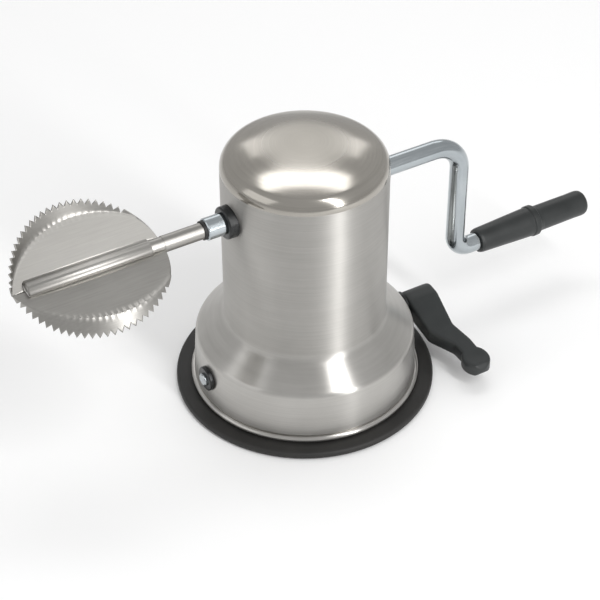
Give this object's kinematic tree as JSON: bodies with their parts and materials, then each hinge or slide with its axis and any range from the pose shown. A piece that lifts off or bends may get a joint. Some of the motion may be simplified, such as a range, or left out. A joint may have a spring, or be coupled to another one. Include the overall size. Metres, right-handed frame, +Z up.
{
  "type": "rotary coconut scraper",
  "caption": "Hand-cranked rotary scraper with a round toothed blade, drawn steel body and lever-operated suction base.",
  "frame": {"origin": "centre of the rubber pad's flat underside, on the body's axis", "axes": "+X along the shaft from the blade towards the crank, -Y towards the user, +Z up"},
  "size_m": [0.2956, 0.12, 0.131],
  "materials": {
    "body_steel": "satin, brushed round the axis",
    "blade_steel": "satin",
    "rod_plating": "bright zinc",
    "plated_steel": "zinc plated",
    "pad_rubber": "moulded",
    "seal_rubber": "moulded",
    "lever_plastic": "fine moulded grain",
    "grip_plastic": "fine moulded grain",
    "bearing_plastic": "satin"
  },
  "bodies": {
    "base": {"body_shell": "body_steel", "suction_pad": "pad_rubber", "spindle_bush_left": "bearing_plastic", "spindle_bush_right": "bearing_plastic", "front_bearing": "bearing_plastic", "rear_bearing": "bearing_plastic", "front_bearing_nut": "bearing_plastic", "rear_bearing_nut": "bearing_plastic"},
    "crank": {"crank_rod": "rod_plating", "rod_clips": "plated_steel", "front_thrust_washer": "plated_steel", "rear_thrust_washer": "plated_steel", "lock_collar": "rod_plating", "blade_pin": "plated_steel", "seal_ring": "seal_rubber", "blade_shaft": "blade_steel", "blade_wing_a": "blade_steel", "blade_wing_b": "blade_steel", "grip_washer": "plated_steel", "grip_screw": "plated_steel"},
    "grip": {"handle_grip": "grip_plastic"},
    "lever": {"vacuum_lever": "lever_plastic", "lever_screw": "plated_steel", "cam_spindle": "plated_steel", "lift_cam": "plated_steel", "cam_pin": "plated_steel", "spindle_clips": "plated_steel", "spindle_washer": "bearing_plastic"},
    "pad_lifter": {"lift_stirrup": "plated_steel", "pad_stud": "plated_steel", "stud_nut": "plated_steel"}
  },
  "joints": [
    {"name": "crank_spin", "type": "hinge", "parent": "base", "child": "crank", "pos_m": [0, 0, 0.102], "axis": [1, 0, 0], "continuous": true},
    {"name": "grip_spin", "type": "hinge", "parent": "crank", "child": "grip", "pos_m": [0.125, 0, 0.0398], "axis": [1, 0, 0], "continuous": true},
    {"name": "lever_turn", "type": "hinge", "parent": "base", "child": "lever", "pos_m": [0.06, 0, 0.0185], "axis": [-1, 0, 0], "range_deg": [0, 180]},
    {"name": "pad_lift", "type": "slide", "parent": "base", "child": "pad_lifter", "axis": [0, 0, 1], "range_m": [0, 0.0032], "deforming": ["suction_pad"]}
  ],
  "couplings": [
    {"joint": "pad_lift", "follows": "lever_turn", "m_per_rad": 0.001}
  ]
}
